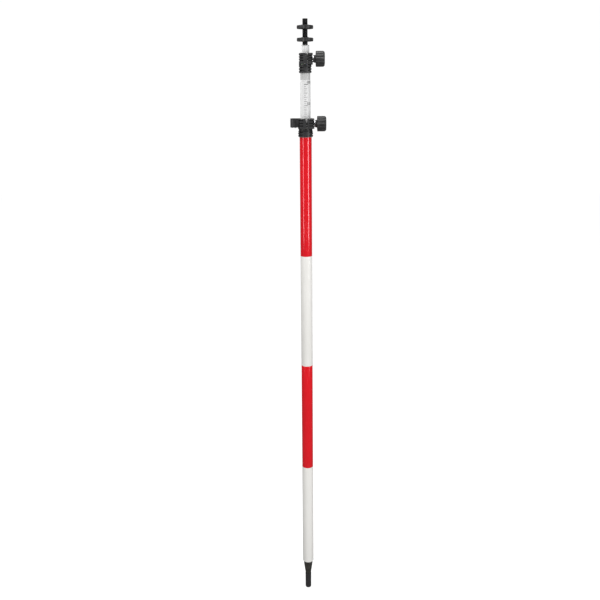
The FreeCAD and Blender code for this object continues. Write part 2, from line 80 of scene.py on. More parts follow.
class Surface:
    """A principled material with procedural detail at real scale."""

    def __init__(self, name, color, roughness, metallic=0.0):
        self.material = bpy.data.materials.new(name)
        self.material.use_nodes = True
        self.tree = self.material.node_tree
        self.shader = self.tree.nodes["Principled BSDF"]
        self.shader.inputs["Base Color"].default_value = (*color, 1.0)
        self.shader.inputs["Roughness"].default_value = roughness
        self.shader.inputs["Metallic"].default_value = metallic
        self.coords = self.tree.nodes.new("ShaderNodeTexCoord")
        self.height = None

    def set(self, **values):
        for key, value in values.items():
            self.shader.inputs[key.replace("_", " ")].default_value = value

    def link(self, source, target):
        self.tree.links.new(source, target)

    def mapping(self, scale):
        """Object coordinates stretched by a scale per axis."""
        node = self.tree.nodes.new("ShaderNodeMapping")
        node.inputs["Scale"].default_value = scale
        self.link(self.coords.outputs["Object"], node.inputs["Vector"])
        return node.outputs["Vector"]

    def noise(self, scale, detail=3.0, stretch=(1.0, 1.0, 1.0)):
        node = self.tree.nodes.new("ShaderNodeTexNoise")
        node.inputs["Scale"].default_value = scale
        node.inputs["Detail"].default_value = detail
        self.link(self.mapping(stretch), node.inputs["Vector"])
        return node.outputs["Fac"]

    def spread(self, source, low, high, out_low, out_high):
        """Maps a range of a value to another range."""
        node = self.tree.nodes.new("ShaderNodeMapRange")
        node.inputs["From Min"].default_value = low
        node.inputs["From Max"].default_value = high
        node.inputs["To Min"].default_value = out_low
        node.inputs["To Max"].default_value = out_high
        self.link(source, node.inputs["Value"])
        return node.outputs["Result"]

    def vary_color(self, source, low, high, first, second):
        """Blends the base colour from first to second as a pattern rises from low to high."""
        blend = self.tree.nodes.new("ShaderNodeMix")
        blend.data_type = "RGBA"
        blend.inputs["A"].default_value = (*first, 1.0)
        blend.inputs["B"].default_value = (*second, 1.0)
        self.link(self.spread(source, low, high, 0.0, 1.0), blend.inputs["Factor"])
        self.link(blend.outputs["Result"], self.shader.inputs["Base Color"])

    def paint_crevice_shade(self, color):
        """Paints shade into grooves and corners: where ambient occlusion finds them, the colour darkens and
        the gloss drops.
        """
        occlusion = self.tree.nodes.new("ShaderNodeAmbientOcclusion")
        occlusion.samples = 8
        occlusion.inputs["Distance"].default_value = CREVICE_REACH
        blend = self.tree.nodes.new("ShaderNodeMix")
        blend.data_type = "RGBA"
        blend.inputs["A"].default_value = (*(c * CREVICE_SHADE for c in color), 1.0)
        openness = occlusion.outputs["AO"]
        self.link(self.spread(openness, 0.5, 0.95, 0.0, 1.0), blend.inputs["Factor"])
        level = self.shader.inputs["Specular IOR Level"]
        self.link(self.spread(openness, 0.5, 0.95, CREVICE_GLOSS, level.default_value), level)
        self.link(self.shader.inputs["Base Color"].links[0].from_socket, blend.inputs["B"])
        self.link(blend.outputs["Result"], self.shader.inputs["Base Color"])

    def vary_roughness(self, source, low, high):
        """Spreads the roughness between two values by a noise pattern."""
        self.link(self.spread(source, 0.3, 0.7, low, high), self.shader.inputs["Roughness"])

    def bump(self, source, distance, strength):
        """Adds a relief on top of the reliefs added before."""
        node = self.tree.nodes.new("ShaderNodeBump")
        node.inputs["Distance"].default_value = distance
        node.inputs["Strength"].default_value = strength
        self.link(source, node.inputs["Height"])
        if self.height:
            self.link(self.height, node.inputs["Normal"])
        self.height = node.outputs["Normal"]
        self.link(self.height, self.shader.inputs["Normal"])


def gloss_paint(name, color, dull, tint, level):
    """Sprayed gloss paint: faint orange peel, fine scuffs running round the tube, a little grime."""
    surface = Surface(name, color, 0.16)
    grime = surface.noise(18.0, 6.0, (1.0, 1.0, 0.35))
    surface.vary_color(grime, 0.45, 0.75, color, dull)
    surface.set(IOR=1.8, Specular_Tint=(*tint, 1.0), Specular_IOR_Level=level)
    surface.vary_roughness(surface.noise(60.0, 4.0, (1.0, 1.0, 0.2)), 0.11, 0.18)
    surface.bump(surface.noise(900.0, 2.0), 0.00002, 0.25)
    surface.bump(surface.noise(220.0, 3.0, (1.0, 1.0, 6.0)), 0.00001, 0.25)
    return surface.material


def moulded_black(name, color, roughness, grain=2600.0, depth=0.00003):
    """Moulded black plastic with a fine spark-eroded grain, rubbed, paler patches and painted shade in its
    grooves.
    """
    surface = Surface(name, color, roughness)
    surface.set(Specular_IOR_Level=0.36)
    rubbed = tuple(c * 1.7 + 0.006 for c in color)
    patches = surface.noise(70.0, 5.0)
    surface.vary_color(patches, 0.48, 0.72, color, rubbed)
    # Painted shade: grooves and corners darkened in colour and gloss by ambient occlusion
    surface.paint_crevice_shade(color)
    surface.vary_roughness(surface.noise(120.0, 4.0), roughness - 0.06, roughness + 0.08)
    surface.bump(surface.noise(grain, 2.0), depth, 0.7)
    return surface.material


def soft_vinyl(name, color):
    """Dipped vinyl: a waxy sheen, dust in its pores and soft ripples from dipping."""
    surface = Surface(name, color, 0.42)
    dust = surface.noise(500.0, 4.0)
    surface.vary_color(dust, 0.55, 0.8, color, (0.09, 0.088, 0.085))
    surface.vary_roughness(surface.noise(90.0, 3.0), 0.36, 0.52)
    surface.bump(surface.noise(160.0, 2.0, (1.0, 1.0, 0.3)), 0.00012, 0.3)
    surface.bump(surface.noise(2400.0, 2.0), 0.00002, 0.4)
    return surface.material


def turned_metal(name, color, roughness):
    """Turned metal, with tool marks running round the axis."""
    surface = Surface(name, color, roughness, 1.0)
    marks = surface.noise(1.0, 2.0, (8.0, 8.0, 9000.0))
    surface.vary_roughness(marks, roughness - 0.06, roughness + 0.1)
    stain = surface.noise(140.0, 4.0)
    surface.vary_color(stain, 0.4, 0.75, color, tuple(c * 0.72 for c in color))
    surface.bump(marks, 0.000012, 0.5)
    return surface.material


def anodised(name, color, roughness, metallic):
    """Drawn and anodised tube, with fine lines along it."""
    surface = Surface(name, color, roughness, metallic)
    surface.set(Specular_IOR_Level=0.3)
    lines = surface.noise(1.0, 3.0, (3500.0, 3500.0, 12.0))
    surface.vary_roughness(lines, roughness - 0.05, roughness + 0.08)
    cloud = surface.noise(35.0, 4.0)
    surface.vary_color(cloud, 0.4, 0.7, color, tuple(c * 0.9 for c in color))
    surface.bump(lines, 0.000008, 0.4)
    return surface.material


def satin_film(name, color):
    """Printed plastic film, wrapped on the tube."""
    surface = Surface(name, color, 0.34)
    surface.set(Specular_IOR_Level=0.3)
    soil = surface.noise(25.0, 5.0, (1.0, 1.0, 0.4))
    surface.vary_color(soil, 0.5, 0.8, color, tuple(c * 0.86 for c in color))
    surface.vary_roughness(surface.noise(80.0, 4.0, (1.0, 1.0, 0.2)), 0.26, 0.4)
    surface.bump(surface.noise(300.0, 2.0), 0.00001, 0.2)
    return surface.material


def clear_acrylic(name):
    """The level's glass: see-through, with faint clouding in its polish."""
    surface = Surface(name, (0.96, 0.99, 0.96), 0.04)
    surface.set(Alpha=0.18, IOR=1.49)
    surface.vary_roughness(surface.noise(200.0, 3.0), 0.02, 0.07)
    return surface.material


def tinted_spirit(name):
    """The level's yellow-green spirit."""
    surface = Surface(name, (0.52, 0.80, 0.04), 0.02)
    surface.set(Alpha=0.7, IOR=1.36)
    swirl = surface.noise(90.0, 2.0)
    surface.vary_color(swirl, 0.3, 0.7, (0.52, 0.80, 0.04), (0.44, 0.74, 0.03))
    return surface.material


def bubble_air(name):
    """Air in the spirit, which shows as a pale lens."""
    surface = Surface(name, (0.93, 0.97, 0.72), 0.01)
    surface.set(Alpha=0.7, IOR=1.3)
    surface.vary_roughness(surface.noise(300.0, 2.0), 0.0, 0.02)
    return surface.material


def natural_nylon(name, color, roughness=0.45):
    """Moulded nylon: slightly translucent, with a fine matt grain."""
    surface = Surface(name, color, roughness)
    cloud = surface.noise(120.0, 4.0)
    surface.vary_color(cloud, 0.4, 0.7, color, tuple(c * 0.85 for c in color))
    surface.set(Subsurface_Weight=0.12, Subsurface_Scale=0.002)
    surface.vary_roughness(surface.noise(150.0, 3.0), roughness - 0.06, roughness + 0.08)
    surface.bump(surface.noise(1500.0, 2.0), 0.00002, 0.4)
    return surface.material


PAINT_RED = gloss_paint("paint_red", (0.79, 0.006, 0.014), (0.71, 0.006, 0.013), (1.0, 0.52, 0.56), 0.85)
PAINT_WHITE = gloss_paint("paint_white", (0.81, 0.80, 0.77), (0.765, 0.755, 0.72), (1.0, 1.0, 1.0), 0.15)
CLAMP_BLACK = moulded_black("clamp_black", (0.034, 0.034, 0.035), 0.44)
KNOB_BLACK = moulded_black("knob_black", (0.028, 0.028, 0.0285), 0.38)
FERRULE_BLACK = moulded_black("ferrule_black", (0.030, 0.0285, 0.0245), 0.36, 1800.0)
CAP_VINYL = soft_vinyl("cap_vinyl", (0.025, 0.0237, 0.0262))
STUD_BLACK = moulded_black("stud_black", (0.012, 0.012, 0.0125), 0.32, 3500.0, 0.00001)
POINT_STEEL = turned_metal("point_steel", (0.56, 0.56, 0.57), 0.26)
ZINC = turned_metal("zinc", (0.62, 0.62, 0.64), 0.3)
DARK_STEEL = turned_metal("dark_steel", (0.06, 0.06, 0.062), 0.36)
BRASS = turned_metal("brass", (0.75, 0.56, 0.25), 0.28)
TUBE_GREY = anodised("tube_grey", (0.58, 0.58, 0.58), 0.5, 0.1)
TUBE_WHITE = anodised("tube_white", (0.88, 0.88, 0.88), 0.42, 0.0)
FILM_WHITE = satin_film("film_white", (0.70, 0.70, 0.70))
PRINT_BLACK = satin_film("print_black", (0.02, 0.02, 0.022))
NYLON = natural_nylon("nylon", (0.72, 0.70, 0.64))
WASHER_BLACK = natural_nylon("washer_black", (0.03, 0.03, 0.031), 0.4)
CUP_WHITE = natural_nylon("cup_white", (0.80, 0.81, 0.79), 0.35)
PAD_RUBBER = soft_vinyl("pad_rubber", (0.03, 0.03, 0.03))
ACRYLIC = clear_acrylic("acrylic")
SPIRIT = tinted_spirit("spirit")
BUBBLE = bubble_air("bubble")

SLOT_MATERIALS = {
    "band_paint": PAINT_WHITE, "scale_film": FILM_WHITE, "anodised_grey": TUBE_GREY,
    "anodised_white": TUBE_WHITE, "clamp_black": CLAMP_BLACK, "knob_black": KNOB_BLACK,
    "liner_nylon": NYLON, "plug_black": WASHER_BLACK, "ferrule_black": FERRULE_BLACK,
    "cap_vinyl": CAP_VINYL, "point_steel": POINT_STEEL, "fastener_steel": ZINC,
    "stud_black": STUD_BLACK, "insert_brass": BRASS, "washer_black": WASHER_BLACK,
    "vial_acrylic": ACRYLIC, "vial_liquid": SPIRIT, "vial_cup_white": CUP_WHITE,
    "pad_rubber": PAD_RUBBER,
}


# ---------------------------------------------------------------- mesh helpers, all in mm

# A shape is a pair of lists, its points and its faces. A radial shape is a function of an angle,
# a radius and a height that gives the radius there.
CORNER_STEPS = 4            # edges in a rounded corner
TINY = 1e-6                 # a radius below this lies on the axis
TUBE_SIDES = 128


def even_angles(count, extra=()):
    """Angles evenly round a circle, with some extra ones where an edge has to fall."""
    return sorted([math.tau * i / count for i in range(count)] + [a % math.tau for a in extra])


def rounded_corner(before, corner, after, radius):
    """The arc that rounds one corner of an outline."""
    back = (before - corner).normalized()
    ahead = (after - corner).normalized()
    half = back.angle(ahead) / 2
    centre = corner + (back + ahead).normalized() * (radius / math.sin(half))
    start = corner + back * (radius / math.tan(half)) - centre
    end = corner + ahead * (radius / math.tan(half)) - centre
    first = math.atan2(start.y, start.x)
    sweep = (math.atan2(end.y, end.x) - first + math.pi) % math.tau - math.pi
    turns = [first + sweep * i / CORNER_STEPS for i in range(CORNER_STEPS + 1)]
    return [(centre.x + radius * math.cos(t), centre.y + radius * math.sin(t)) for t in turns]


def outline(corners):
    """An outline from (radius, height, rounding) corners; a rounding of 0 leaves a corner sharp."""
    points = []
    for i, (r, z, rounding) in enumerate(corners):
        before = Vector(corners[i - 1][:2])
        after = Vector(corners[(i + 1) % len(corners)][:2])
        if rounding:
            points += rounded_corner(before, Vector((r, z)), after, rounding)
        else:
            points.append((r, z))
    return points


def lathe(points, angles, shape=None):
    """Turns an outline about Z. Where it doesn't end on the axis, its last point joins its first."""
    verts = []
    rings = []
    for r, z in points:
        if r < TINY:
            rings.append([len(verts)])
            verts.append((0.0, 0.0, z))
            continue
        rings.append(list(range(len(verts), len(verts) + len(angles))))
        for a in angles:
            reach = shape(a, r, z) if shape else r
            verts.append((reach * math.cos(a), reach * math.sin(a), z))
    pairs = list(zip(rings, rings[1:]))
    if len(rings[0]) > 1:
        pairs.append((rings[-1], rings[0]))
    faces = []
    for low, high in pairs:
        for i in range(len(angles)):
            j = (i + 1) % len(angles)
            corners = [low[i % len(low)], low[j % len(low)], high[j % len(high)], high[i % len(high)]]
            face = tuple(dict.fromkeys(corners))
            if len(face) > 2:
                faces.append(face)
    return verts, faces


def joined(shapes):
    """Several shapes as one."""
    verts = []
    faces = []
    for some_verts, some_faces in shapes:
        start = len(verts)
        verts += some_verts
        faces += [tuple(start + i for i in face) for face in some_faces]
    return verts, faces


def moved(shape, matrix):
    """A shape under a transform."""
    verts, faces = shape
    return [tuple(matrix @ Vector(v)) for v in verts], faces


def add_piece(name, shape, material, body, nodes=(), sharp=38.0):
    """Makes one piece of the model from a shape in mm, riding on a CAD body."""
    verts, faces = shape
    mesh = bpy.data.meshes.new(name)
    mesh.from_pydata([Vector(v) * MM for v in verts], [], faces)
    work = bmesh.new()
    work.from_mesh(mesh)
    bmesh.ops.recalc_face_normals(work, faces=work.faces)
    work.to_mesh(mesh)
    work.free()
    mesh.shade_smooth()
    mesh.set_sharp_from_angle(angle=math.radians(sharp))
    mesh.materials.append(material)
    piece = bpy.data.objects.new(name, mesh)
    bpy.context.scene.collection.objects.link(piece)
    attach(piece, body)
    if nodes:
        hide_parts(*nodes)


def scalloped(count, distance, radius, offset, soft):
    """A radial shape with round grooves along the axis, their lips softened."""
    step = math.tau / count

    def shape(angle, r, z):
        away = abs((angle - offset + step / 2) % step - step / 2)
        across = distance * math.sin(away)
        if across >= radius:
            return r
        groove = distance * math.cos(away) - math.sqrt(radius * radius - across * across)
        share = min(max(0.5 + 0.5 * (groove - r) / soft, 0.0), 1.0)
        return groove + (r - groove) * share - soft * share * (1.0 - share)

    return shape


def thread(low, high, pitch, depth):
    """A radial shape with a helical thread between two heights."""

    def shape(angle, r, z):
        if z < low or z > high:
            return r
        phase = (z / pitch - angle / math.tau) % 1.0
        valley = min(max(1.6 * abs(2.0 * phase - 1.0) - 0.3, 0.0), 1.0)
        return r - depth * valley

    return shape


def rod_levels(low, high, step):
    """Heights evenly along a rod, about a step apart."""
    count = max(1, round((high - low) / step))
    return [low + (high - low) * i / count for i in range(count + 1)]


# ---------------------------------------------------------------- foot

def build_tip_cap():
    """A dipped vinyl cap: round end, rolled lip, open above."""
    top = high_z("tip_cap")
    corners = [
        (0.0, 0.0, 0.0), (8.2, 0.0, 4.5), (8.35, top - 3.4, 1.5), (8.55, top - 2.2, 0.8),
        (8.55, top, 0.45), (7.35, top, 0.3), (7.33, 6.2, 1.2), (3.6, 2.5, 0.6), (0.0, 2.5, 0.0),
    ]
    add_piece("tip_cap_skin", lathe(outline(corners), even_angles(72)), CAP_VINYL,
              "tip_cap", ["tip_cap"])


def build_steel_point():
    """A turned point with two wrench flats above its shoulder."""
    top = high_z("steel_point")
    flat_low = 24.5
    flat_high = 31.0
    half_across_flats = 5.1

    def shape(angle, r, z):
        if flat_low <= z <= flat_high:
            return min(r, half_across_flats / max(abs(math.cos(angle)), TINY))
        return r

    corners = [
        (0.0, 4.0, 0.0), (1.0, 4.0, 0.5), (6.0, 20.0, 0.8),
        (6.0, flat_low - 0.01, 0.0), (6.0, flat_low, 0.0),
        (6.0, flat_high, 0.0), (6.0, flat_high + 0.01, 0.0),
        (6.0, 34.95, 0.4), (4.0, 34.95, 0.0), (4.0, top, 0.5), (0.0, top, 0.0),
    ]
    add_piece("steel_point_turned", lathe(outline(corners), even_angles(72), shape), POINT_STEEL,
              "outer", ["steel_point"])


def build_ferrule():
    """A moulded tapered plug with soft shoulders and two faint mould seams."""
    low = low_z("bottom_ferrule")
    top = high_z("bottom_ferrule")
    tube = low_z("outer_tube")
    seam_height = 0.14
    seam_width = 0.035
    bore_reach = 7.0

    def shape(angle, r, z):
        if z > tube or r < bore_reach:
            return r
        away = abs((angle + math.pi / 2) % math.pi - math.pi / 2)
        return r + seam_height * math.exp(-(away / seam_width) ** 2)

    corners = [
        (0.0, 59.1, 0.0), (4.05, 59.1, 0.0), (4.05, low, 0.2), (7.2, low, 0.7), (7.2, 47.2, 0.1),
        (7.6, 47.6, 0.0), (7.85, 49.5, 3.0), (12.15, tube - 10.0, 4.0), (12.4, tube - 0.3, 0.4),
        (12.4, tube + 0.1, 0.0), (13.42, tube + 0.1, 0.0), (13.42, top, 1.0), (0.0, top, 0.0),
    ]
    beside_seam = (-0.03, -0.012, 0.012, 0.03)
    angles = even_angles(96, [side + a for side in (0.0, math.pi) for a in beside_seam])
    add_piece("ferrule_moulding", lathe(outline(corners), angles, shape), FERRULE_BLACK,
              "outer", ["bottom_ferrule"])


def build_ferrule_rivets():
    """Two domed rivets through the back of the tube."""
    z = (low_z("ferrule_rivets") + high_z("ferrule_rivets")) / 2
    dome = outline([(0.0, -6.8, 0.0), (1.55, -6.8, 0.3), (1.55, -0.1, 0.0), (2.6, -0.1, 0.1),
                    (2.5, 0.25, 0.25), (1.4, 0.75, 1.5), (0.0, 0.8, 0.0)])
    rivet = lathe(dome, even_angles(32))
    shapes = []
    for degrees in (60.0, 120.0):
        turn = Matrix.Rotation(math.radians(degrees), 4, "Z") @ Matrix.Translation((OUTER_R, 0.0, z))
        shapes.append(moved(rivet, turn @ Matrix.Rotation(math.pi / 2, 4, "Y")))
    add_piece("ferrule_rivet_heads", joined(shapes), ZINC, "outer", ["ferrule_rivets"])


# ---------------------------------------------------------------- tubes and their paint

BAND_LENGTH = 300.0
COAT_THICKNESS = 0.12
BARE_EDGE = 0.5             # unpainted rim at the foot
TUBE_BORE_R = 13.5
SEAT_HEIGHT = 13.2          # the turned-down end inside the lower clamp
SEAT_R = 14.68
SLEEVE_BORE_R = 12.01


def build_outer_tube():
    """The bare tube, with four sprayed bands over it, each a coat of its own."""
    low = low_z("outer_tube")
    top = high_z("outer_tube")
    core_r = OUTER_R - COAT_THICKNESS
    seat = top - SEAT_HEIGHT
    corners = [(TUBE_BORE_R, low, 0.2), (core_r, low, 0.3), (core_r, seat, 0.0),
               (SEAT_R, seat, 0.0), (SEAT_R, top, 0.2), (TUBE_BORE_R, top, 0.2)]
    add_piece("outer_tube_core", lathe(outline(corners), even_angles(TUBE_SIDES)), TUBE_GREY,
              "outer", ["outer_tube"])
    edges = [low + BARE_EDGE] + [low + BAND_LENGTH * i for i in (1, 2, 3)] + [seat - 0.1]
    inside = core_r - 0.06
    coats = [("white_low", PAINT_WHITE, 0.02), ("red_low", PAINT_RED, 0.0),
             ("white_high", PAINT_WHITE, 0.02), ("red_high", PAINT_RED, 0.0)]
    for (name, paint, step), start, end in zip(coats, edges, edges[1:]):
        outside = OUTER_R - step
        corners = [(inside, start, 0.0), (outside, start, 0.05), (outside, end, 0.05), (inside, end, 0.0)]
        coat = lathe(outline(corners), even_angles(TUBE_SIDES))
        add_piece("band_" + name, coat, paint, "outer")


def build_scale_sleeve():
    """The printed film round the middle tube, its ends slightly rounded."""
    low = low_z("mid_scale_sleeve")
    top = high_z("mid_scale_sleeve")
    corners = [(SLEEVE_BORE_R, low, 0.0), (SLEEVE_R, low, 0.2),
               (SLEEVE_R, top, 0.2), (SLEEVE_BORE_R, top, 0.0)]
    add_piece("scale_film_wrap", lathe(outline(corners), even_angles(TUBE_SIDES)), FILM_WHITE,
              "mid", ["mid_scale_sleeve"])


INK_THICKNESS = 0.03
INK_SUNK = 0.02
INK_STEP = 0.8              # longest straight stretch of a printed line
LINE_STEP = 5.0
LINE_LEFT = -3.4            # where every line begins, as an arc length from the front of the tube
LONG_LINE = (7.0, 1.0)      # where a line ends and its thickness, every 50 mm
MIDDLE_LINE = (4.1, 0.7)    # the same, every 10 mm
SHORT_LINE = (1.6, 0.5)     # the same, between those
FIGURE_HEIGHT = 6.2
FIGURE_RISE = 1.9           # a figure's foot above its line
FIGURE_ANGLE = 0.78         # a figure's middle, in radians round from the front
FIGURE_STRIPS = 12          # a figure is cut into these, so that it can bend


def wrapped(flat_verts, flat_faces, radius):
    """A flat print of (arc, height) points, wrapped on a tube's front and closed into a thin solid."""
    sides = {}
    for face in flat_faces:
        for a, b in zip(face, face[1:] + face[:1]):
            sides[frozenset((a, b))] = sides.get(frozenset((a, b)), 0) + 1
    verts = []
    for reach in (radius - INK_SUNK, radius + INK_THICKNESS):
        for arc, z in flat_verts:
            angle = arc / radius - math.pi / 2
            verts.append((reach * math.cos(angle), reach * math.sin(angle), z))
    count = len(flat_verts)
    faces = [tuple(reversed(face)) for face in flat_faces]
    faces += [tuple(i + count for i in face) for face in flat_faces]
    for a, b in (tuple(side) for side, uses in sides.items() if uses == 1):
        faces.append((a, b, b + count, a + count))
    return verts, faces


def printed_line(right, thickness, z, radius):
    """One printed line round part of the tube, out to an arc length."""
    pieces = max(2, round((right - LINE_LEFT) / INK_STEP))
    verts = []
    for i in range(pieces + 1):
        arc = LINE_LEFT + (right - LINE_LEFT) * i / pieces
        verts += [(arc, z - thickness / 2), (arc, z + thickness / 2)]
    faces = [(2 * i, 2 * i + 2, 2 * i + 3, 2 * i + 1) for i in range(pieces)]
    return wrapped(verts, faces, radius)


def flat_figures(text):
    """Flat figures, centred across, cut into strips that can follow the tube's curve."""
    curve = bpy.data.curves.new("figures", "FONT")
    curve.body = text
    curve.resolution_u = 3
    curve.offset = 0.02
    writer = bpy.data.objects.new("figures", curve)
    mesh = bpy.data.meshes.new_from_object(writer)
    work = bmesh.new()
    work.from_mesh(mesh)
    bmesh.ops.remove_doubles(work, verts=work.verts, dist=0.0005)
    low = Vector([min(v.co[i] for v in work.verts) for i in range(3)])
    high = Vector([max(v.co[i] for v in work.verts) for i in range(3)])
    scale = FIGURE_HEIGHT / (high.y - low.y)
    for v in work.verts:
        v.co = Vector(((v.co.x - (low.x + high.x) / 2) * scale, (v.co.y - low.y) * scale, 0.0))
    half = (high.x - low.x) * scale / 2
    for i in range(1, FIGURE_STRIPS):
        cut = -half + 2 * half * i / FIGURE_STRIPS
        everything = list(work.verts) + list(work.edges) + list(work.faces)
        bmesh.ops.bisect_plane(work, geom=everything, plane_co=(cut, 0, 0), plane_no=(1, 0, 0))
    work.verts.index_update()
    verts = [(v.co.x, v.co.y) for v in work.verts]
    faces = [tuple(v.index for v in face.verts) for face in work.faces]
    work.free()
    bpy.data.objects.remove(writer)
    bpy.data.curves.remove(curve)
    bpy.data.meshes.remove(mesh)
    return verts, faces


def printed_scale(name, body, radius, first_z, last_z, first_value):
    """Lines every 5 mm down the front of a tube, and every 50 mm a figure, 5 more than the one above."""
    lines = []
    figures = []
    for i in range(int((first_z - last_z) / LINE_STEP) + 1):
        z = first_z - LINE_STEP * i
        if i % 10 == 0:
            style = LONG_LINE
            verts, faces = flat_figures(str(first_value + i // 2))
            placed = [(x + FIGURE_ANGLE * radius, y + z + FIGURE_RISE) for x, y in verts]
            figures.append(wrapped(placed, faces, radius))
        elif i % 2 == 0:
            style = MIDDLE_LINE
        else:
            style = SHORT_LINE
        lines.append(printed_line(*style, z, radius))
    add_piece(name + "_lines", joined(lines), PRINT_BLACK, body)
    add_piece(name + "_figures", joined(figures), PRINT_BLACK, body)


# ---------------------------------------------------------------- clamps' screws and knobs

KNOB_R = 18.48              # just inside the CAD knob's radius
HUB_LENGTH = {"lower": 4.4, "upper": 4.8}
KNOB_FLUTES = 14
BOLT_R = 3.0
BOLT_THREAD_LENGTH = 24.0


def span_x(node):
    """Where a CAD node begins and ends along X, in mm."""
    low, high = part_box(node)
    return low.x / MM, high.x / MM


def along_x(node):
    """Lays a shape made along Z on the X-wise axis of a CAD node."""
    low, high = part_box(node)
    centre = Matrix.Translation((0.0, (low.y + high.y) / 2 / MM, (low.z + high.z) / 2 / MM))
    return centre @ Matrix.Rotation(math.pi / 2, 4, "Y")


def build_knob(clamp):
    """A fluted grip with a dished end, a flared hub and a bore for its bolt."""
    node = clamp + "_knob"
    hub, end = span_x(node)
    back = hub + HUB_LENGTH[clamp]
    corners = [
        (0.0, back + 12.9, 0.0), (3.05, back + 12.9, 0.0), (3.05, hub, 0.15), (8.6, hub, 0.6),
        (9.3, back, 0.9), (14.5, back, 0.5), (15.0, back + 0.35, 0.3), (KNOB_R, back + 0.35, 1.1),
        (KNOB_R, back + 9.0, 0.0), (KNOB_R, end, 5.0), (12.6, end, 0.5), (12.0, end - 1.3, 0.6),
        (4.6, end - 1.3, 0.4), (4.2, end - 0.5, 0.35), (0.0, end - 0.5, 0.0),
    ]
    grooves = scalloped(KNOB_FLUTES, KNOB_R + 1.1, 2.4, 0.0, 0.6)
    shape = lathe(outline(corners), even_angles(KNOB_FLUTES * 18), grooves)
    add_piece(clamp + "_knob_grip", moved(shape, along_x(node)), KNOB_BLACK, clamp + "_knob",
              [node])


def build_bolt(clamp):
    """The threaded bolt that crosses the jaws' slit."""
    node = clamp + "_knob_bolt"
    low, high = span_x(node)
    threaded = low + BOLT_THREAD_LENGTH
    corners = [(0.0, low, 0.0), (2.4, low, 0.0)]
    corners += [(BOLT_R, level, 0.0) for level in rod_levels(low + 0.6, threaded, 0.125)]
    corners += [(BOLT_R, high - 4.0, 0.0), (5.0, high - 4.0, 0.3), (5.0, high, 0.6), (0.0, high, 0.0)]
    shape = lathe(outline(corners), even_angles(40), thread(low + 0.5, threaded, 1.0, 0.45))
    add_piece(clamp + "_knob_bolt_thread", moved(shape, along_x(node)), DARK_STEEL, clamp + "_knob",
              [node])


def build_knob_washer(clamp):
    """The plain steel washer under a knob."""
    node = clamp + "_knob_washer"
    low, high = span_x(node)
    corners = [(3.3, low, 0.1), (7.6, low, 0.25), (7.6, high, 0.35), (3.3, high, 0.2)]
    shape = lathe(outline(corners), even_angles(72))
    add_piece(clamp + "_knob_washer_disc", moved(shape, along_x(node)), ZINC, clamp + "_knob_washer",
              [node])


# ---------------------------------------------------------------- top stud and thumb nuts

THREAD_LOW = 1509.0
THREAD_PITCH = 25.4 / 13.0
THREAD_DEPTH = 0.32
RELIEF_LOW = 1554.2         # thread relief above the upper nut
RELIEF_HIGH = 1556.0
RELIEF_DEPTH = 0.5
KEYWAY_HALF = 1.1
KEYWAY_DEPTH = 1.15
FACE_GAP = 0.02             # a washer's faces stand off its neighbours by this much
INSET = 0.01                # the stud's end stays this far inside the CAD stud


def build_stud():
    """A half-inch threaded stud with a keyway down its front."""
    low = low_z("top_stud")
    top = high_z("top_stud") - INSET
    turns = thread(THREAD_LOW + 0.6, top - 0.7, THREAD_PITCH, THREAD_DEPTH)

    def shape(angle, r, z):
        if RELIEF_LOW < z < RELIEF_HIGH:
            reach = min(r, STUD_R - RELIEF_DEPTH)
        else:
            reach = turns(angle, r, z)
        in_keyway = math.sin(angle) < 0.0 and abs(STUD_R * math.cos(angle)) < KEYWAY_HALF + 0.01
        if z > THREAD_LOW and in_keyway:
            return min(reach, (STUD_R - KEYWAY_DEPTH) / abs(math.sin(angle)))
        return reach

    edge = math.asin(KEYWAY_HALF / STUD_R)
    sides = [-math.pi / 2 + s * (edge + d) for s in (-1, 1) for d in (-0.004, 0.012)]
    corners = [(0.0, low, 0.0), (STUD_R, low, 0.0), (STUD_R, THREAD_LOW - 0.01, 0.0)]
    corners += [(STUD_R, z, 0.0) for z in rod_levels(THREAD_LOW + 0.01, top - 0.7, 0.24)]
    corners += [(STUD_R - 0.9, top - 0.05, 0.0), (STUD_R - 1.1, top, 0.0), (0.0, top, 0.0)]
    add_piece("stud_thread", lathe(outline(corners), even_angles(72, sides), shape), STUD_BLACK,
              "inner", ["top_stud"], 50.0)


def build_thumb_nut(which):
    """A six-lobed grip disc with a stepped hub, open for its brass insert."""
    node = which + "_thumb_nut"
    low = low_z(node)
    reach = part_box(node)[1].x / MM
    corners = [
        (8.22, 0.0, 0.1), (9.5, 0.0, 0.3), (9.7, 0.8, 0.25), (12.4, 0.8, 0.5), (13.4, 0.45, 0.5),
        (reach, 0.45, 2.1), (reach, 8.85, 2.1), (13.4, 8.85, 0.5), (12.4, 8.5, 0.5), (9.7, 8.5, 0.25),
        (9.5, 9.3, 0.3), (8.22, 9.3, 0.1),
    ]
    lobes = scalloped(6, 24.6, 8.0, math.radians(30.0), 1.6)
    points = [(r, z + low) for r, z in outline(corners)]
    add_piece(node + "_grip", lathe(points, even_angles(216), lobes), KNOB_BLACK, node, [node])


def build_thumb_nut_washer(which):
    """The nylon washer of a thumb nut."""
    node = which + "_thumb_nut_washer"
    low = low_z(node) + FACE_GAP
    top = high_z(node) - FACE_GAP
    corners = [(6.65, low, 0.1), (9.3, low, 0.2), (9.3, top, 0.3), (6.65, top, 0.2)]
    add_piece(node + "_disc", lathe(outline(corners), even_angles(72)), WASHER_BLACK, node,
              [node])


# ---------------------------------------------------------------- circular level

def on_level(corners, sides):
    """An outline turned about the level's own upright axis."""
    low, high = span_x("vial_cup")
    place = Matrix.Translation(((low + high) / 2, 0.0, 0.0))
    return moved(lathe(outline(corners), even_angles(sides)), place)


